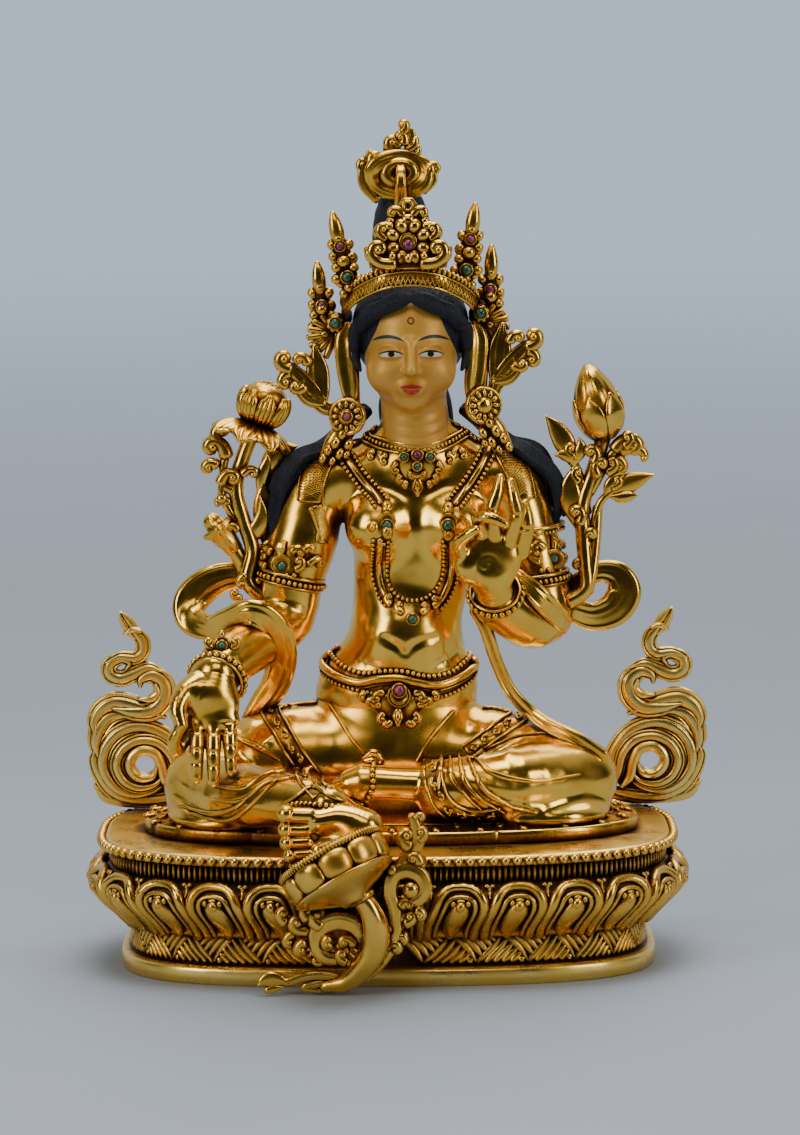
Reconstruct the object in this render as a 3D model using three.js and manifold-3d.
// A seated figure of Green Tara on a lotus plinth, in gilt copper with a painted head
// and set stones. Millimetres, +Z up, origin in the middle of the plinth's underside,
// the figure looking along -Y.
import * as THREE from "three";
import { mergeVertices } from "three/addons/utils/BufferGeometryUtils.js";
import Module from "manifold-3d";

// Driving dimensions of the plinth
const PLINTH_WIDTH = 229;
const PLINTH_DEPTH = 150;
const PLATE_HEIGHT = 7;
const FAN_BAND_HEIGHT = 12;
const PETAL_HEIGHT = 22;
const FLUTE_HEIGHT = 7;
const BEAD_DIAMETER = 4;
const PLATE_INSET = 9.5;
const FAN_BAND_INSET = 13.5;
const PETAL_OVERHANG = 2;
const PETAL_PITCH = 21.8;
const PETAL_RELIEF = 3.2;
const FLUTE_INSET = 4.5;

// Driving dimensions of what stands on the plinth
const FIGURE_HEIGHT = 281;
const FIGURE_ASIDE = 1.5;
const HEM_WIDTH = 198;
const HEM_DEPTH = 88;
const HEM_THICKNESS = 4;
const SCROLL_HEIGHT = 82;
const SCROLL_THICKNESS = 6;
const SCROLL_FROM_END = 11.4;
const SCROLL_FROM_BACK = 33;
const SCROLLS_ASIDE = 4.1;
const LOTUS_DIAMETER = 45;
const FOOT_LOTUS_REACH = 12;
const STEM_DIAMETER = 7.5;
const SPRAY_STEM_DIAMETER = 5.5;
const CROWN_BAND_HEIGHT = 7;
const CROWN_BAND_WALL = 2.4;
const EAR_ROUNDEL_DIAMETER = 15;
const STONE_HEIGHT = 1.4;
const GAP = 0.3;

// The plan of the plinth is a rounded oblong, a superellipse of this exponent
const PLAN_EXPONENT = 3;
const HEM_EXPONENT = 2.5;
const SIDES_PER_PETAL = 3;
const HEM_SCALLOPS = 7;
const SIDES_PER_SCALLOP = 4;
const SCALLOP_DEPTH = 1.4;

// What follows from the driving dimensions
const PLINTH_TOP = PLATE_HEIGHT + FAN_BAND_HEIGHT + PETAL_HEIGHT + FLUTE_HEIGHT + BEAD_DIAMETER;
const PLINTH_FRONT = -(PLINTH_DEPTH / 2 + PETAL_OVERHANG);
// The figure's points are given for a figure 281 mm tall and scaled to its height
const SHARE = FIGURE_HEIGHT / 281;

const wasm = await Module();
wasm.setup();

const gilt = { color: 0xd9a441, metalness: 1, roughness: 0.25 };
const giltAntique = { color: 0xb98938, metalness: 1, roughness: 0.35 };
const emerald = { color: 0x2f6b4c, metalness: 0, roughness: 0.25 };
const ruby = { color: 0x7d2a52, metalness: 0, roughness: 0.25 };

const part = new THREE.Group();

function addNode(name, geometry, look) {
  geometry.computeVertexNormals();
  const mesh = new THREE.Mesh(geometry, new THREE.MeshStandardMaterial(look));
  mesh.name = name;
  part.add(mesh);
}

// A point of the figure: x to the image right, y backwards, z above the plinth's top. The
// figure sits a little aside of the plinth's middle.
function spot(x, y, z) {
  return new THREE.Vector3(FIGURE_ASIDE + x * SHARE, y * SHARE, PLINTH_TOP + GAP + z * SHARE);
}

function toSolid(geometry) {
  const bare = geometry.clone();
  bare.deleteAttribute("normal");
  bare.deleteAttribute("uv");
  const merged = mergeVertices(bare, 1e-4);
  return new wasm.Manifold(new wasm.Mesh({
    numProp: 3,
    vertProperties: Float32Array.from(merged.attributes.position.array),
    triVerts: Uint32Array.from(merged.index.array),
  }));
}

function toGeometry(solid) {
  const mesh = solid.getMesh();
  const geometry = new THREE.BufferGeometry();
  geometry.setAttribute("position", new THREE.BufferAttribute(mesh.vertProperties, 3));
  geometry.setIndex(new THREE.BufferAttribute(mesh.triVerts, 1));
  return geometry;
}

function join(pieces) {
  return pieces.map(toSolid).reduce((whole, piece) => whole.add(piece));
}

function meshOf(points, faces) {
  const geometry = new THREE.BufferGeometry();
  const flat = points.flatMap((point) => [point.x, point.y, point.z]);
  geometry.setAttribute("position", new THREE.Float32BufferAttribute(flat, 3));
  geometry.setIndex(faces);
  return geometry;
}

// Rings of points, each ring turning anticlockwise about the way from first to last,
// closed by a fan at both ends
function skin(rings, first, last) {
  const sides = rings[0].length;
  const points = [first, ...rings.flat(), last];
  const faces = [];
  const at = (ring, side) => 1 + ring * sides + (side % sides);
  for (let side = 0; side < sides; side++) {
    faces.push(0, at(0, side + 1), at(0, side));
    for (let ring = 0; ring + 1 < rings.length; ring++) {
      faces.push(at(ring, side), at(ring, side + 1), at(ring + 1, side + 1));
      faces.push(at(ring, side), at(ring + 1, side + 1), at(ring + 1, side));
    }
    faces.push(points.length - 1, at(rings.length - 1, side), at(rings.length - 1, side + 1));
  }
  return meshOf(points, faces);
}

// The same rings joined end to end, for a strand that runs in a closed loop
function loopSkin(rings) {
  const sides = rings[0].length;
  const faces = [];
  const at = (ring, side) => (ring % rings.length) * sides + (side % sides);
  for (let ring = 0; ring < rings.length; ring++) {
    for (let side = 0; side < sides; side++) {
      faces.push(at(ring, side), at(ring, side + 1), at(ring + 1, side + 1));
      faces.push(at(ring, side), at(ring + 1, side + 1), at(ring + 1, side));
    }
  }
  return meshOf(rings.flat(), faces);
}

// A number read off a short list of values spread evenly over 0 to 1
function along(values, t) {
  const place = Math.min(t, 0.999999) * (values.length - 1);
  const index = Math.floor(place);
  return values[index] + (values[index + 1] - values[index]) * (place - index);
}

// A limb, strand, leaf or stem: an oval section carried along a smooth path. `wide` and
// `deep` are half sizes along the path, times `scale`; `across` is the direction that
// `wide` lies in, and `tip` how far the rounded ends reach as a share of the half size.
function strand(path, wide, deep, options = {}) {
  const { sides = 6, steps = path.length, across = null, grow = 0, tip = 0.4 } = options;
  const { closed = false, scale = SHARE } = options;
  const curve = new THREE.CatmullRomCurve3(path, closed, "centripetal");
  const centres = [];
  const tangents = [];
  for (let i = 0; i <= (closed ? steps - 1 : steps); i++) {
    centres.push(curve.getPoint(i / steps));
    tangents.push(curve.getTangent(i / steps).normalize());
  }
  let side = across ? across.clone() : new THREE.Vector3(0, -1, 0).cross(tangents[0]);
  if (side.length() < 0.1) side = new THREE.Vector3(1, 0, 0);
  const rings = tangents.map((tangent, i) => {
    const t = i / steps;
    side.addScaledVector(tangent, -side.dot(tangent)).normalize();
    const other = tangent.clone().cross(side);
    const a = along(wide, t) * scale + grow;
    const b = along(deep, t) * scale + grow;
    return Array.from({ length: sides }, (_, k) => {
      const turn = (2 * Math.PI * k) / sides;
      return centres[i].clone()
        .addScaledVector(side, a * Math.cos(turn))
        .addScaledVector(other, b * Math.sin(turn));
    });
  });
  if (closed) return loopSkin(rings);
  const cap = (i, sign) => {
    const t = i / steps;
    const reach = tip * Math.min(along(wide, t), along(deep, t)) * scale + grow;
    return centres[i].clone().addScaledVector(tangents[i], sign * reach);
  };
  return skin(rings, cap(0, -1), cap(steps, 1));
}

function ball(centre, radii, across = 10, around = 7) {
  const geometry = new THREE.SphereGeometry(1, across, around);
  geometry.scale(...radii.map((radius) => radius * SHARE));
  geometry.translate(centre.x, centre.y, centre.z);
  return geometry;
}

// A piece turned on a lathe, its axis moved from +Y onto the given direction
function turned(profile, centre, axis, sides = 12) {
  const points = profile.map(([radius, height]) => new THREE.Vector2(radius, height));
  const geometry = new THREE.LatheGeometry(points, sides);
  const turn = new THREE.Quaternion()
    .setFromUnitVectors(new THREE.Vector3(0, 1, 0), axis.clone().normalize());
  geometry.applyQuaternion(turn);
  geometry.translate(centre.x, centre.y, centre.z);
  return geometry;
}

// The plan of the plinth, as points spread evenly round it, each with its outward normal
function planPoints(width, depth, exponent, count) {
  const fine = 2400;
  const raw = Array.from({ length: fine }, (_, i) => {
    const turn = (2 * Math.PI * i) / fine - Math.PI / 2;
    const c = Math.cos(turn);
    const s = Math.sin(turn);
    return new THREE.Vector2(
      (width / 2) * Math.sign(c) * Math.abs(c) ** (2 / exponent),
      (depth / 2) * Math.sign(s) * Math.abs(s) ** (2 / exponent),
    );
  });
  const reached = [0];
  raw.forEach((point, i) => reached.push(reached[i] + point.distanceTo(raw[(i + 1) % fine])));
  const length = reached[fine];
  const points = [];
  let i = 0;
  for (let k = 0; k < count; k++) {
    const goal = (length * k) / count;
    while (reached[i + 1] < goal) i++;
    const t = (goal - reached[i]) / (reached[i + 1] - reached[i]);
    points.push(raw[i].clone().lerp(raw[(i + 1) % fine], t));
  }
  const normals = points.map((_, k) => {
    const before = points[(k + count - 1) % count];
    const after = points[(k + 1) % count];
    return new THREE.Vector2(after.y - before.y, before.x - after.x).normalize();
  });
  return { points, normals, length };
}

// A stack of rings over a plan, each ring a height and an outward offset for every point
function stack(plan, levels) {
  const rings = levels.map(([height, offset]) => plan.points.map((point, k) => {
    const out = typeof offset === "function" ? offset(k) : offset;
    return new THREE.Vector3(
      point.x + plan.normals[k].x * out,
      point.y + plan.normals[k].y * out,
      height,
    );
  }));
  const bottom = new THREE.Vector3(0, 0, levels[0][0]);
  const top = new THREE.Vector3(0, 0, levels[levels.length - 1][0]);
  return skin(rings, bottom, top);
}

// The lotus plinth. `grow` makes the larger copy that its neighbours are cut by.
function plinth(grow = 0) {
  const measure = planPoints(PLINTH_WIDTH, PLINTH_DEPTH, PLAN_EXPONENT, 400);
  const petals = 2 * Math.round(measure.length / PETAL_PITCH / 2);
  const count = petals * SIDES_PER_PETAL;
  const plan = planPoints(PLINTH_WIDTH, PLINTH_DEPTH, PLAN_EXPONENT, count);
  // A petal stands proud in its middle and falls back to the groove beside it
  const petal = (out, share) => (k) => {
    const phase = (2 * Math.PI * k) / SIDES_PER_PETAL;
    return out + grow + (PETAL_RELIEF * share * (Math.cos(phase) - 1)) / 2;
  };
  const fanTop = PLATE_HEIGHT + FAN_BAND_HEIGHT;
  const petalTop = fanTop + PETAL_HEIGHT;
  const fluteTop = petalTop + FLUTE_HEIGHT;
  return stack(plan, [
    [-grow, grow - PLATE_INSET],
    [PLATE_HEIGHT + grow, grow - PLATE_INSET - 1],
    [PLATE_HEIGHT + grow, grow - FAN_BAND_INSET],
    [fanTop, grow - FAN_BAND_INSET],
    [fanTop + PETAL_HEIGHT * 0.4, petal(PETAL_OVERHANG - 2, 1)],
    [fanTop + PETAL_HEIGHT * 0.75, petal(PETAL_OVERHANG, 1)],
    [petalTop + grow, grow - FLUTE_INSET],
    [fluteTop + BEAD_DIAMETER * 0.4, grow + BEAD_DIAMETER / 2],
    [fluteTop + BEAD_DIAMETER + grow, grow - BEAD_DIAMETER / 2],
  ]);
}

// The torso's sections from the seat up: height, middle of the section, half sizes
const TORSO = [
  [3, 3, 10, 42, 29],
  [30, 3, 9, 37, 27],
  [48, 4, 9, 31, 23],
  [63, 4, 8.5, 32.5, 21.5],
  [67, 4.5, 8, 27.5, 18],
  [82, 7, 6.5, 20.5, 14.5],
  [96, 9.5, 6, 23.5, 15.5],
  [110, 11, 6, 28.5, 17],
  [124, 12, 6, 33, 17.5],
  [138, 12.3, 6.5, 35, 16],
  [148, 12.3, 6, 29, 14.5],
  [155, 12, 5, 20, 13.5],
  [161, 11.5, 4, 14.5, 12],
];
const BREASTS = [[-4.5, -3.5, 120, 12.5], [26, -3.5, 120, 12.5]];

function torso(grow) {
  const sides = 12;
  const rings = TORSO.map(([z, x, y, wide, deep]) => Array.from({ length: sides }, (_, k) => {
    const turn = (2 * Math.PI * k) / sides;
    return spot(x + wide * Math.cos(turn), y + deep * Math.sin(turn), z)
      .add(new THREE.Vector3(grow * Math.cos(turn), grow * Math.sin(turn), 0));
  }));
  const [low, high] = [TORSO[0], TORSO[TORSO.length - 1]];
  return skin(rings, spot(low[1], low[2], low[0]), spot(high[1], high[2], high[0] + 1));
}

// Where the front of the chest lies at x, z, so that necklaces follow it
function chestFront(x, z) {
  const above = Math.max(1, TORSO.findIndex((row) => row[0] >= z));
  const [low, high] = [TORSO[above - 1], TORSO[above]];
  const t = (z - low[0]) / (high[0] - low[0]);
  const [, cx, cy, wide, deep] = low.map((value, i) => value + (high[i] - value) * t);
  const share = Math.min(1, Math.abs((x - cx) / wide));
  let front = cy - deep * Math.sqrt(1 - share * share);
  for (const [bx, by, bz, radius] of BREASTS) {
    const rest = radius ** 2 - (x - bx) ** 2 - (z - bz) ** 2;
    if (rest > 0) front = Math.min(front, by - Math.sqrt(rest));
  }
  return front;
}

function onChest(x, z, out = 0) {
  return spot(x, chestFront(x, z) - out, z);
}

// The foot hangs over the plinth's rim, so its depth is counted from the plinth's front
function hung(x, out, z) {
  const point = spot(x, 0, z);
  point.y = PLINTH_FRONT - out * SHARE;
  return point;
}

function headPieces(grow) {
  const middle = 9.4;
  const skull = strand(
    [spot(middle, -5, 167), spot(middle, -0.5, 178), spot(middle, 2.5, 194), spot(middle, 3.5, 210),
      spot(middle, 5, 223)],
    [10, 19, 22.5, 22, 9], [9, 19, 23, 21, 8],
    { sides: 10, steps: 6, across: new THREE.Vector3(1, 0, 0), grow, tip: 0.5 },
  );
  const neck = strand([spot(11.5, 4, 152), spot(10.5, 3, 172)], [14, 12.5], [12.5, 11.5],
    { sides: 9, steps: 1, across: new THREE.Vector3(1, 0, 0), grow });
  const nose = strand([spot(middle, -17, 196), spot(middle, -21.5, 186), spot(middle, -19, 183.5)],
    [1, 2.6, 1.5], [1, 1.8, 1], { sides: 4, steps: 2, grow, across: new THREE.Vector3(1, 0, 0) });
  const fringe = strand(
    [spot(-12, -3, 184), spot(-10, -11, 200), spot(0, -18.5, 208), spot(9, -21, 211.5),
      spot(18, -18.5, 208), spot(28.5, -11, 200), spot(30.5, -3, 184)],
    [1.6, 2.6, 3, 1.6, 3, 2.6, 1.6], [1.5, 2.4, 2.4, 1.5, 2.4, 2.4, 1.5], { sides: 4, steps: 6, grow });
  const bun = strand([spot(6.5, 8, 214), spot(6.5, 8, 228), spot(6.2, 8, 241), spot(6, 8, 250)],
    [12, 12.5, 12, 9], [12, 12.5, 12, 9],
    { sides: 8, steps: 3, grow, across: new THREE.Vector3(1, 0, 0) });
  return [skull, neck, nose, fringe, bun];
}

function hairLocks(grow) {
  const lock = (points, turn) => strand(points, [3, 6, 7, 4.5, 1], [2.5, 3.5, 3, 2.5, 0.8],
    { sides: 5, steps: 3, grow, across: new THREE.Vector3(turn, 0.8, 0) });
  return [
    lock([spot(-12, 15, 160), spot(-24, 13, 148), spot(-37, 12, 136), spot(-44, 11, 112)], -1),
    lock([spot(36, 15, 160), spot(49, 13, 149), spot(61, 12, 137), spot(68, 10, 117)], 1),
    strand([spot(11, 22, 205), spot(11, 25, 180), spot(12, 24, 158), spot(12, 23, 138)],
      [14, 15, 17, 9], [4, 5, 4, 1.5], { sides: 6, steps: 3, grow, across: new THREE.Vector3(1, 0, 0) }),
  ];
}

function finger(points, radius) {
  return strand(points, [radius, radius * 0.95, radius * 0.7], [radius, radius * 0.95, radius * 0.7],
    { sides: 5, steps: points.length - 1, tip: 0.8 });
}

// The hand that gives, on the image-left knee: palm outwards, fingers down
function givingHand() {
  const palm = strand([spot(-65, -31, 70), spot(-68, -40, 57), spot(-70, -44, 44)],
    [6, 11, 9.5], [5.5, 5, 3.6], { sides: 6, steps: 3, across: new THREE.Vector3(1, 0, 0) });
  return [
    palm,
    finger([spot(-74, -43, 47), spot(-75.5, -46, 36), spot(-76.7, -47, 27)], 2.6),
    finger([spot(-69, -44, 46), spot(-70, -47, 36), spot(-70, -48, 25.5)], 2.7),
    finger([spot(-63, -43, 47), spot(-63.5, -46, 38), spot(-64, -47, 30)], 2.4),
    finger([spot(-78, -42, 50), spot(-84.5, -46, 46), spot(-85.5, -48, 50), spot(-83, -49, 54)], 2.2),
    finger([spot(-76, -38, 64), spot(-83, -43, 62), spot(-84.5, -47, 57)], 2.5),
  ];
}

// The hand at the chest, holding a stem between thumb and finger
function teachingHand() {
  const palm = strand([spot(42, -21, 91), spot(39.5, -27, 106), spot(43, -29, 121)],
    [7, 12.5, 11], [6, 5.5, 4], { sides: 6, steps: 3, across: new THREE.Vector3(1, 0, 0) });
  return [
    palm,
    finger([spot(44, -29, 119), spot(45, -31, 132), spot(44.7, -31, 142)], 2.6),
    finger([spot(49, -29, 118), spot(50, -30.5, 131), spot(49.5, -30, 139)], 2.5),
    finger([spot(53, -28, 114), spot(54, -29, 124), spot(53.5, -29, 131)], 2.3),
    finger([spot(36, -29, 120), spot(35.5, -34, 127), spot(41, -37, 126), spot(46, -37, 124)], 2.3),
    finger([spot(29, -27, 107), spot(27.5, -32, 116), spot(32.5, -36, 121)], 2.6),
  ];
}

function arms(grow) {
  const arm = (path, wide, deep) => strand(path, wide, deep, { sides: 8, steps: 6, grow });
  return [
    arm([spot(-20, 8, 139), spot(-32, 8, 130), spot(-38.5, 5, 105), spot(-42, 3, 82),
      spot(-54, -15, 76), spot(-65, -31, 70)],
    [12, 12, 13.2, 11, 10, 7.6, 5.5], [12, 12, 12.4, 10.5, 9, 7, 5]),
    arm([spot(41, 8, 139), spot(50, 8, 130), spot(58.5, 6, 105), spot(61.5, 3, 82),
      spot(53, -9, 84), spot(42, -21, 91)],
    [12, 12, 12.6, 10.5, 10, 8.2, 6.5], [12, 12, 11.8, 10, 9, 7.5, 5.5]),
  ];
}

// The scarf's two tails, out of the crook of each arm down to the thighs
function tails(grow) {
  return [
    strand([spot(-46, -6, 82), spot(-46, -14, 70), spot(-49, -22, 59), spot(-58, -29, 49)],
      [8, 6, 4.5, 2.5], [8, 7, 5, 2], { sides: 6, steps: 3, grow }),
    strand([spot(44, -18, 87), spot(39, -20, 74), spot(45, -19, 60), spot(52, -17, 48),
      spot(64, -13, 42)],
      [3, 2.4, 2.2, 2.6, 3.6], [2, 1.6, 1.6, 1.6, 1.5], { sides: 4, steps: 4, grow }),
  ];
}

function legs(grow) {
  const ankle = hung(-24, 0, 21);
  const limb = (path, wide, deep) => strand(path, wide, deep, { sides: 8, steps: 4, grow });
  return [
    // the leg that steps down, at the image left
    limb([spot(-14, 6, 25), spot(-48, -1, 22), spot(-75, -10, 17)], [24, 18.5, 14], [24, 18, 14.5]),
    limb([spot(-75, -10, 17), spot(-60, -36, 18), spot(-42, -56, 20), ankle],
      [14, 12.5, 10, 8], [14.5, 12.5, 9.5, 7]),
    // the folded leg, at the image right
    limb([spot(22, 6, 25), spot(54, -1, 24), spot(75, -8, 19)], [24, 18.5, 14], [24, 18, 14.5]),
    limb([spot(75, -8, 19), spot(56, -24, 20.5), spot(36, -32, 21), spot(18, -35, 20)],
      [14, 15, 13, 12.5], [14.5, 14, 13, 12]),
    strand([spot(22, -35, 22), spot(-2, -34, 24), spot(-11, -34, 24), spot(-23, -35, 21)],
      [6.5, 6, 7, 3], [6.5, 6, 5.5, 3.5], { sides: 6, steps: 3, grow }),
  ];
}

// The foot that steps down: toes to the image left, big toe on top, sole to the front
function steppingFoot(grow) {
  const toes = [[-42, 20.5, 3], [-42.5, 14.5, 2.5], [-42, 9.5, 2.4], [-40.5, 5, 2.2], [-39, 1.5, 2]];
  const foot = strand([hung(-10, 6, 13), hung(-18, 6, 13.5), hung(-30, 7, 12), hung(-39, 8, 11)],
    [6.5, 9.5, 10.5, 11], [5, 6, 5, 3],
    { sides: 6, steps: 2, grow, across: new THREE.Vector3(0, 0, 1) });
  const toe = ([x, z, radius]) => strand([hung(x + 8, 7.5, z), hung(x, 8.5, z)],
    [radius, radius * 0.85], [radius, radius * 0.85], { sides: 5, steps: 1, grow, tip: 0.9 });
  return [foot, ...toes.map(toe)];
}

// The skirt spread on the plinth, with a scalloped edge
function hem() {
  const plan = planPoints(HEM_WIDTH, HEM_DEPTH, HEM_EXPONENT, HEM_SCALLOPS * SIDES_PER_SCALLOP);
  const scallop = (k) => SCALLOP_DEPTH * Math.cos((2 * Math.PI * k) / SIDES_PER_SCALLOP);
  const low = PLINTH_TOP + GAP;
  const geometry = stack(plan, [
    [low, scallop],
    [low + HEM_THICKNESS, (k) => scallop(k) - 0.5],
    [low + HEM_THICKNESS + 4 * SHARE, -18 * SHARE],
  ]);
  geometry.translate(FIGURE_ASIDE, 3 * SHARE, 0);
  return geometry;
}

function necklaces() {
  const bead = { sides: 4, tip: 0.3 };
  const collar = [-7, -2, 4, 12, 20, 26, 31]
    .map((x) => onChest(x, 150 + 8 * ((x - 12) / 19) ** 2, 0.4));
  const chain = [[-18, 149], [-11, 141], [-3.6, 132], [-0.5, 121], [-5, 101], [1, 89], [9, 84],
    [16, 88], [22, 101], [23.5, 121], [24, 131], [32, 142], [39, 150]];
  return [
    strand(collar, [2, 2.4, 2], [1.6, 1.8, 1.6], { ...bead, steps: 5 }),
    strand(chain.map(([x, z]) => onChest(x, z, 0)), [1.9, 1.9], [1.4, 1.4], { ...bead, steps: 10 }),
    strand([onChest(11.5, 151, 0), onChest(11.5, 144, 0.6), onChest(11, 136, 0)], [9, 6, 2], [2, 2, 1],
      { sides: 4, steps: 2, across: new THREE.Vector3(1, 0, 0) }),
  ];
}

// The belt itself is a step in the torso's sections; this is the clasp that hangs from it
function beltClasp() {
  const across = new THREE.Vector3(1, 0, 0);
  return [
    strand([spot(3.8, -11.5, 65), spot(3.8, -13.5, 57), spot(3.8, -13, 48)], [8, 9, 3], [2.4, 3, 2],
      { sides: 5, steps: 2, across }),
  ];
}

function figureSolid() {
  const breasts = BREASTS
    .map(([x, y, z, radius]) => ball(spot(x, y, z), [radius, radius, radius], 7, 5));
  return join([
    torso(0), ...breasts, ...headPieces(0), ...hairLocks(0), ...arms(0), ...tails(0),
    ...legs(0), ...steppingFoot(0), hem(), ...givingHand(), ...teachingHand(),
    ...necklaces(), ...beltClasp(),
  ]);
}

// What a separately made ornament is cut by: the parts of the figure that carry it
function headKeepOut() {
  return join([...headPieces(GAP), ...hairLocks(GAP)]);
}

function bodyKeepOut() {
  return join([torso(GAP), ...arms(GAP), ...tails(GAP), ...hairLocks(GAP)]);
}

// The way round the head that the crown follows, by its angle from the front
function crownPoint(angle, up = 0, out = 0) {
  const height = 207 + 11 * Math.cos(angle) + 2 * Math.cos(2 * angle);
  const point = spot(9.4 + 25 * Math.sin(angle), 2 - 22.5 * Math.cos(angle), height);
  point.x += out * Math.sin(angle);
  point.y -= out * Math.cos(angle);
  point.z += up;
  return point;
}

function crownBand() {
  const steps = 12;
  const reach = 1.95;
  const half = CROWN_BAND_HEIGHT / 2;
  const corners = [[-half, 0], [-half, CROWN_BAND_WALL], [0, CROWN_BAND_WALL + 1],
    [half, CROWN_BAND_WALL], [half, 0]];
  const rings = Array.from({ length: steps + 1 }, (_, i) => {
    const angle = -reach + (2 * reach * i) / steps;
    return corners.map(([up, out]) => crownPoint(angle, up, out)).reverse();
  });
  const middle = (angle) => crownPoint(angle, 0, CROWN_BAND_WALL / 2);
  return skin(rings, middle(-reach), middle(reach));
}

// The side leaves of the crown: foot, height, lean, and shares of the height where the
// green and the red stone sit
const CROWN_LEAVES = {
  inner_left: [[-13.8, -8, 212], 32, -7, 0.22, 0.6],
  inner_right: [[30.5, -8, 215], 32, 4.5, 0.2, 0.58],
  outer_left: [[-24.2, 2, 193], 31, -3, null, 0.46],
  outer_right: [[40.5, 2, 196], 34, 1, null, 0.5],
};
// The bosses that carry the outer leaves off the ends of the crown's band
const CROWN_BOSSES = { outer_left: [-20.3, 0, 200.5], outer_right: [37, 0, 204] };

// The point at share t of the way up a side leaf of the crown
function leafPoint([foot, height, lean], t) {
  return spot(...foot).add(new THREE.Vector3(lean, -1, height).multiplyScalar(SHARE * t));
}

// A side leaf of the crown: a pile of small bosses under a smooth spike
function crownLeaf(leaf) {
  const path = [0, 0.5, 1].map((t) => leafPoint(leaf, t));
  return strand(path, [4, 5.2, 3.6, 4, 2, 1.6, 1], [2.6, 3, 2.4, 2.4, 1.5, 1.3, 0.8],
    { sides: 4, steps: 5, across: new THREE.Vector3(1, 0, 0) });
}

// The middle of the front leaf's foot, and the height of its large stone above that
function frontLeafFoot() {
  const foot = crownPoint(0, CROWN_BAND_HEIGHT / 2, CROWN_BAND_WALL);
  return foot.add(new THREE.Vector3(-0.8 * SHARE, 1.5 * SHARE, 0));
}
const FRONT_STONE_HEIGHT = 8.7;

// The tall front leaf, drawn in its own plane and leaning back a little
function frontLeaf() {
  const shape = new THREE.Shape();
  shape.moveTo(0, -2);
  shape.bezierCurveTo(12, -2, 18, 0, 17.5, 5);
  shape.bezierCurveTo(16, 9, 13, 10, 11, 12);
  shape.bezierCurveTo(9, 17, 5, 18, 4.5, 23);
  shape.bezierCurveTo(3, 26.5, -3, 26.5, -4.5, 23);
  shape.bezierCurveTo(-5, 18, -9, 17, -11, 12);
  shape.bezierCurveTo(-13, 10, -16, 9, -17.5, 5);
  shape.bezierCurveTo(-18, 0, -12, -2, 0, -2);
  const geometry = new THREE.ExtrudeGeometry(shape, { depth: 3, bevelEnabled: false, curveSegments: 2 });
  geometry.scale(SHARE, SHARE, SHARE);
  geometry.rotateX(Math.PI / 2 - 0.12);
  const foot = frontLeafFoot();
  geometry.translate(foot.x, foot.y, foot.z);
  return geometry;
}

function crown() {
  const leaves = Object.values(CROWN_LEAVES).map(crownLeaf);
  const bosses = Object.values(CROWN_BOSSES).map((place) => ball(spot(...place), [6, 5, 4.6], 6, 4));
  return join([crownBand(), frontLeaf(), ...leaves, ...bosses]).subtract(headKeepOut());
}

// The ornament over the hair bun: cap, looped scroll, tongue and S-shaped finial
function topknot() {
  const loop = Array.from({ length: 8 }, (_, i) => {
    const turn = (2 * Math.PI * i) / 8;
    return spot(5.2 + 11.5 * Math.cos(turn), 2, 257.5 + 6.2 * Math.sin(turn));
  });
  const across = new THREE.Vector3(0, 1, 0);
  return join([
    ball(spot(6, 7, 253), [8.5, 8.5, 6.5], 8, 5),
    strand(loop, [2.6, 2.6], [3.2, 3.2], { sides: 4, steps: 9, closed: true, across }),
    strand([spot(6, -4, 249), spot(6, -6, 254), spot(6, -3, 260), spot(6, 4, 262)],
      [2.2, 2, 1.8, 1.6], [1.8, 1.6, 1.6, 1.6], { sides: 4, steps: 3 }),
    strand([spot(-4, 2, 254), spot(-8, 2, 262), spot(-5, 1.5, 266)], [2, 2, 1.2], [2, 1.8, 1.2],
      { sides: 4, steps: 2 }),
    strand([spot(8, 4, 261), spot(3, 3, 266), spot(3.5, 3, 271), spot(9.5, 3, 271.5), spot(9.5, 3, 277),
      spot(6.5, 3, 279.4)], [2.6, 3.4, 2.6, 2.6, 1.8, 1.3], [2.6, 2.6, 2.2, 2, 1.6, 1.2],
    { sides: 4, steps: 8 }),
  ]).subtract(headKeepOut());
}

// An ear ornament: bar beside the temple, roundel, ribbon plume and tassel. Points are
// given for the image-right one; the other mirrors them about the head and sits lower.
function earOrnament(side) {
  const drop = side < 0 ? -4 : 0;
  const at = (x, y, z) => spot(11 + side * (x - 11), y, z + drop);
  // the image-left plume spreads wider and lower
  const plume = (x, y, z) => (side < 0 ? at(x + 5, y, z - 4) : at(x, y, z));
  const across = new THREE.Vector3(1, 0, 0);
  const radius = EAR_ROUNDEL_DIAMETER / 2;
  const roundel = turned([[0, -2], [radius, -2], [radius - 1, 2], [0, 2.6]],
    at(38, -6, 168), new THREE.Vector3(side * 0.35, -1, 0), 9);
  return join([
    roundel,
    strand([at(36.5, -4, 168), at(36, -1, 184), at(35, 0, 198)], [4, 4.2, 3], [2.5, 2, 1.5],
      { sides: 4, steps: 2, across }),
    strand([at(41, -3, 172), plume(43.5, -2, 179), plume(45, -2, 190), plume(45, -2, 200)],
      [3, 5, 4.2, 1], [1.8, 1.8, 1.6, 0.8], { sides: 4, steps: 3, across }),
    strand([plume(43, -2, 180), plume(51, -2, 187), plume(59, -2, 193)], [4.5, 4, 2.8], [1.8, 2, 2],
      { sides: 4, steps: 2 }),
    strand([at(40, -3, 162), at(43, -3, 156), at(48, -3, 151)], [4, 5.5, 3], [3, 3.2, 2],
      { sides: 5, steps: 2, across }),
  ]).subtract(headKeepOut());
}

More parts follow.
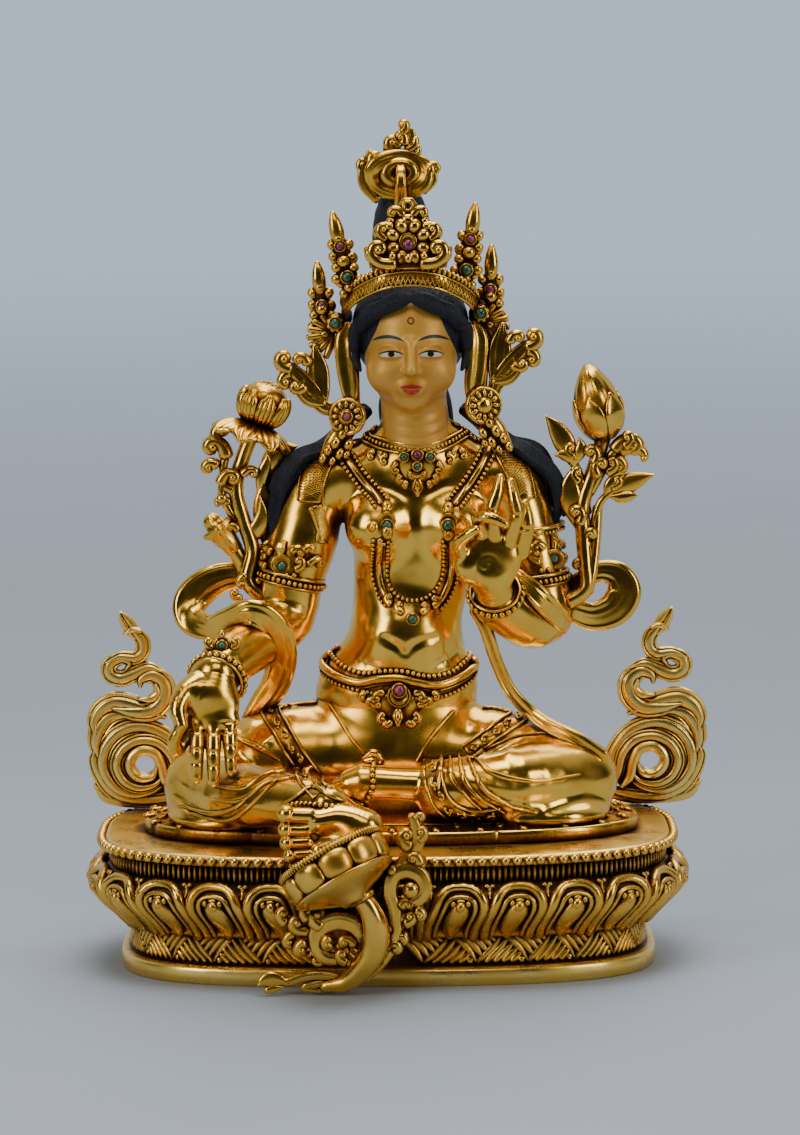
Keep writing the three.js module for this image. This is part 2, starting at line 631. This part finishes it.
// A ribbon of the scarf that leaves the elbow and turns back to it
const SCARF_LEFT = [[-44, 6, 95], [-60, 7.5, 97], [-74, 7.5, 95], [-79.5, 6, 88], [-76, 4, 81.5],
  [-66, 3, 80], [-50, 2, 83]];
const SCARF_RIGHT = [[62, 4, 84], [75, 6, 83.5], [87, 6, 82], [95, 6, 88], [95.5, 7, 96], [89, 8, 101],
  [80, 7.5, 98], [68, 6.5, 92]];
const OPEN_STEM = [[-53, 5, 158], [-57.5, 5, 147], [-60.4, 4, 135], [-57.5, 2.5, 122], [-54, 0.5, 110],
  [-56, -0.5, 98], [-48, -1, 90]];
const BUD_STEM = [[85.5, 5, 154], [81.2, 5, 140], [77.2, 3.5, 128], [77, 2, 117], [78, 0.5, 104],
  [78, -0.5, 94], [71, -1, 89]];
const BUD_STEM_BRANCH = [[83, 4, 126], [82, 2, 112], [80.5, 0, 100], [79, -1, 93]];

function scarfLoop(path, stems) {
  const ribbon = strand(path.map((point) => spot(...point)), [2, 2], [3.4, 4, 5.4, 5.6, 4.6, 3.6],
    { sides: 6, steps: 9, across: new THREE.Vector3(0, 1, 0) });
  const passing = join(stems.map((stem) => sprayStem(stem, GAP)));
  return toSolid(ribbon).subtract(bodyKeepOut()).subtract(passing);
}

// A leaf or small branch of a spray, out of its stem
function sprig(points, wide) {
  return strand(points.map(([x, y, z]) => spot(x, y, z)), wide, [1.2, 1.6, 1.3, 0.8],
    { sides: 4, steps: 3 });
}

function sprayStem(path, grow = 0) {
  const radii = [SPRAY_STEM_DIAMETER / 2, SPRAY_STEM_DIAMETER / 2];
  return strand(path.map((point) => spot(...point)), radii, radii,
    { sides: 5, steps: path.length - 1, grow, scale: 1 });
}

// The open flower, its flared outer petals below and the seed head on top
function openSpray() {
  const profile = [[0, -4], [2.6, -4], [15, -5.5], [9, 0.4], [9.2, 7.5], [6.5, 12.5], [0, 14]]
    .map(([radius, height]) => [radius * SHARE, height * SHARE]);
  return join([
    sprayStem(OPEN_STEM),
    turned(profile, spot(-51.4, 5, 161.5), new THREE.Vector3(0.34, 0, 0.94), 10),
    sprig([[-58, 5, 139], [-66, 4, 146], [-68, 4, 155], [-73, 4, 158.5]], [2, 3.4, 2.6, 2]),
    sprig([[-60, 5, 126], [-66, 4, 131], [-69, 4, 137]], [1.5, 2.6, 1.2]),
    sprig([[-55.5, 5, 101], [-62, 4, 110], [-69, 4, 118], [-71, 4, 122]], [2.4, 4, 5.4, 4]),
    sprig([[-54, 5, 132], [-50, 4, 142], [-44, 4, 149], [-38, 5, 151]], [2, 3.4, 4, 2.6]),
    sprig([[-53, 5, 113], [-49.5, 4, 124], [-49.5, 4, 137]], [2, 4.2, 1]),
    sprig([[-55, 5, 100], [-52, 3, 107], [-53, 1, 113]], [2, 3, 2]),
  ]).subtract(bodyKeepOut());
}

// The closed flower on the other side
function budSpray() {
  const profile = [[0, -2], [3.6, -1], [9.2, 6], [9.6, 14], [5, 25], [0, 29.5]]
    .map(([radius, height]) => [radius * SHARE, height * SHARE]);
  return join([
    sprayStem(BUD_STEM),
    sprayStem(BUD_STEM_BRANCH),
    turned(profile, spot(86, 5, 154.5), new THREE.Vector3(-0.24, 0, 0.97), 8),
    sprig([[82, 5, 135], [90, 4, 147], [97, 4, 155], [102.5, 4, 159]], [2.4, 3.6, 3, 3]),
    sprig([[91, 4, 149], [98, 4, 147], [98, 4, 144]], [2, 2.6, 2]),
    sprig([[82, 5, 122], [89, 4, 133], [97, 4, 135], [105, 4, 138]], [2, 4, 4.4, 1.4]),
    sprig([[79, 5, 130], [75, 4, 145], [70, 4, 155], [63.5, 4, 162]], [2, 4, 4.6, 1.4]),
    sprig([[78.5, 5, 118], [73.5, 4, 128], [74, 4, 141]], [2, 4.2, 1.2]),
  ]).subtract(bodyKeepOut());
}

// A standing flame scroll: a round curl below and a long S of curls above it, drawn in its
// own plane with u away from the figure and w up from the plinth
function flameScroll(side) {
  const share = SCROLL_HEIGHT / 82;
  const thick = SCROLL_THICKNESS / 2;
  const foot = new THREE.Vector3(
    SCROLLS_ASIDE + side * (PLINTH_WIDTH / 2 - SCROLL_FROM_END),
    PLINTH_DEPTH / 2 - SCROLL_FROM_BACK,
    PLINTH_TOP + GAP,
  );
  const at = (u, w) => foot.clone().add(new THREE.Vector3(side * u * share, 0, w * share));
  const across = new THREE.Vector3(0, 1, 0);
  const flame = [[16, 27], [17.5, 33], [15, 39.5], [8.5, 44.5], [1, 45.5], [-6, 45.5], [-13, 49.5],
    [-13, 56], [-7, 58.8], [0, 55], [8, 52.5], [10, 57.5], [5.5, 61.5], [-0.5, 64.5], [-1.8, 70],
    [1.5, 75.5], [5.5, 80.5]];
  const curl = Array.from({ length: 8 }, (_, i) => {
    const turn = (-2 * side * Math.PI * i) / 8;
    return at(-1 + 12.6 * Math.cos(turn), 20.6 + 12.8 * Math.sin(turn));
  });
  const wide = [3.4, 4.2, 4.2, 4.2, 4.6, 4.4, 3.8, 3.4, 2.6, 2.8, 1].map((value) => value * share);
  const deep = [thick, thick];
  const [curlHalf, footHalf] = [7.4 * share, 3 * share];
  return join([
    strand(curl, deep, [curlHalf, curlHalf], { sides: 5, steps: 10, across, closed: true, scale: 1 }),
    strand(flame.map(([u, w]) => at(u, w)), [thick, thick * 0.5], wide,
      { sides: 4, steps: 22, across, scale: 1 }),
    strand([at(-12, 3), at(-5, 3), at(2, 3)], deep, [footHalf, footHalf],
      { sides: 6, steps: 2, across, scale: 1 }),
  ]).subtract(plinthKeepOut);
}

// The lotus cushion under the foot, its stem and the scrolls beside the stem
function footLotus() {
  const radius = LOTUS_DIAMETER / 2;
  const axis = new THREE.Vector3(-0.47, 0.3, 0.83);
  const profile = [[0, -13], [4, -12], [radius - 2.5, -5], [radius - 2, -4], [radius - 3.5, -3.4],
    [radius, 3], [radius - 0.5, 7], [radius - 1.5, 8], [0, 8]];
  const out = FOOT_LOTUS_REACH;
  const stemRadius = STEM_DIAMETER / 2;
  const low = -PLINTH_TOP / SHARE;
  const back = out - 7;
  const scroll = (points, wide) => strand(points.map(([x, z]) => hung(x, back, z)), wide, [2.2, 2.2],
    { sides: 4, steps: points.length });
  return join([
    turned(profile, hung(-20, out, -3), axis, 12),
    strand([hung(-13, out, -9), hung(-6.5, out - 1, -20), hung(-5.5, out - 3, -30),
      hung(-10, out - 6, -40), hung(-17, back, low + 4.5), hung(-27, back, low + 4)],
    [0.9, 1, 1.25, 1.25, 1, 0.5].map((value) => value * stemRadius),
    [0.9, 1, 1.1, 1.1, 0.9, 0.5].map((value) => value * stemRadius), { sides: 6, steps: 6, scale: 1 }),
    scroll([[-22, low + 5], [-34, low + 9], [-43, low + 6], [-49, low + 5]], [1.6, 1.8, 2.4, 1.6]),
    scroll([[-14, low + 10], [-14, -25], [-20, -20.5], [-28, -24], [-26, -34], [-19, -34]],
      [2.4, 2.6, 2.8, 2.4, 2.2, 1.6]),
    scroll([[-24, -23], [-33, -26], [-36, -21], [-44, -24]], [2.6, 2.6, 2.2, 1.4]),
    scroll([[-4, -37], [3, -34], [6, -24], [3, -12], [10, -6], [14, -12], [9, -17]],
      [2, 2.4, 2.8, 3, 3, 2.4, 1.6]),
    scroll([[4, -8], [11, -1], [9, 8]], [2.4, 2.2, 1.4]),
  ]).subtract(plinthKeepOut).subtract(join([...steppingFoot(GAP), ...legs(GAP)]));
}

// How far forward the piece that carries a stone reaches behind the stone's flat back
function frontOf(carrier, x, z, radius) {
  const ray = new THREE.Raycaster();
  let front = Infinity;
  for (let i = 0; i < 9; i++) {
    const turn = (2 * Math.PI * i) / 8;
    const out = i < 8 ? radius : 0;
    const from = new THREE.Vector3(x, -3 * PLINTH_DEPTH, z)
      .add(new THREE.Vector3(out * Math.cos(turn), 0, out * Math.sin(turn)));
    ray.set(from, new THREE.Vector3(0, 1, 0));
    const hit = ray.intersectObject(carrier)[0];
    if (hit) front = Math.min(front, hit.point.y);
  }
  return front;
}

// A stone: a low round dome whose flat back stands a hair's breadth clear of its setting
function addStone(name, look, carrier, place, radius) {
  const wide = radius * SHARE;
  const profile = [[0, GAP], [wide, GAP], [wide * 0.7, GAP + STONE_HEIGHT], [0, GAP + STONE_HEIGHT]];
  const back = new THREE.Vector3(place.x, frontOf(carrier, place.x, place.z, wide), place.z);
  addNode(name, toGeometry(toSolid(turned(profile, back, new THREE.Vector3(0, -1, 0), 5))), look);
}

const plinthKeepOut = toSolid(plinth(GAP));

addNode("lotus_plinth", plinth(), giltAntique);
addNode("figure", toGeometry(figureSolid()), gilt);
addNode("crown", toGeometry(crown()), gilt);
addNode("topknot_ornament", toGeometry(topknot()), gilt);
addNode("ear_ornament_left", toGeometry(earOrnament(-1)), gilt);
addNode("ear_ornament_right", toGeometry(earOrnament(1)), gilt);
addNode("scarf_loop_left", toGeometry(scarfLoop(SCARF_LEFT, [OPEN_STEM])), gilt);
addNode("scarf_loop_right", toGeometry(scarfLoop(SCARF_RIGHT, [BUD_STEM, BUD_STEM_BRANCH])), gilt);
addNode("open_lotus_spray", toGeometry(openSpray()), gilt);
addNode("lotus_bud_spray", toGeometry(budSpray()), gilt);
addNode("flame_scroll_left", toGeometry(flameScroll(-1)), gilt);
addNode("flame_scroll_right", toGeometry(flameScroll(1)), gilt);
addNode("foot_lotus", toGeometry(footLotus()), giltAntique);

const [crownMesh, figureMesh, earMesh] = ["crown", "figure", "ear_ornament_left"]
  .map((name) => part.getObjectByName(name));
for (const [place, leaf] of Object.entries(CROWN_LEAVES)) {
  const [, , , greenShare, redShare] = leaf;
  const green = greenShare === null ? spot(...CROWN_BOSSES[place]) : leafPoint(leaf, greenShare);
  addStone(`stone_crown_${place}_green`, emerald, crownMesh, green, 2);
  addStone(`stone_crown_${place}_red`, ruby, crownMesh, leafPoint(leaf, redShare), 1.7);
}
const frontStone = frontLeafFoot().add(new THREE.Vector3(0, 0, FRONT_STONE_HEIGHT * SHARE));
addStone("stone_crown_front", ruby, crownMesh, frontStone, 2.3);
const BODY_STONES = [
  ["stone_pendant_left", emerald, 6.3, 148, 1.4],
  ["stone_pendant_middle", ruby, 11.6, 149, 1.7],
  ["stone_pendant_right", emerald, 16.8, 148, 1.4],
  ["stone_pendant_drop", emerald, 11.5, 144.5, 1.3],
  ["stone_chain_left", emerald, -0.5, 121.5, 2],
  ["stone_chain_right", emerald, 23.3, 121.5, 2],
  ["stone_chain_low", emerald, 9.2, 84, 1.8],
  ["stone_armlet_left", emerald, -42.3, 105, 1.9],
  ["stone_armlet_right", emerald, 65.4, 106.5, 1.9],
  ["stone_bracelet_left", emerald, -64.5, 72.5, 1.5],
  ["stone_belt", ruby, 3.6, 56, 2.3],
];
for (const [name, look, x, z, radius] of BODY_STONES) {
  addStone(name, look, figureMesh, spot(x, 0, z), radius);
}
addStone("stone_ear_left", ruby, earMesh, spot(-16, 0, 164), 1.6);

export default part;
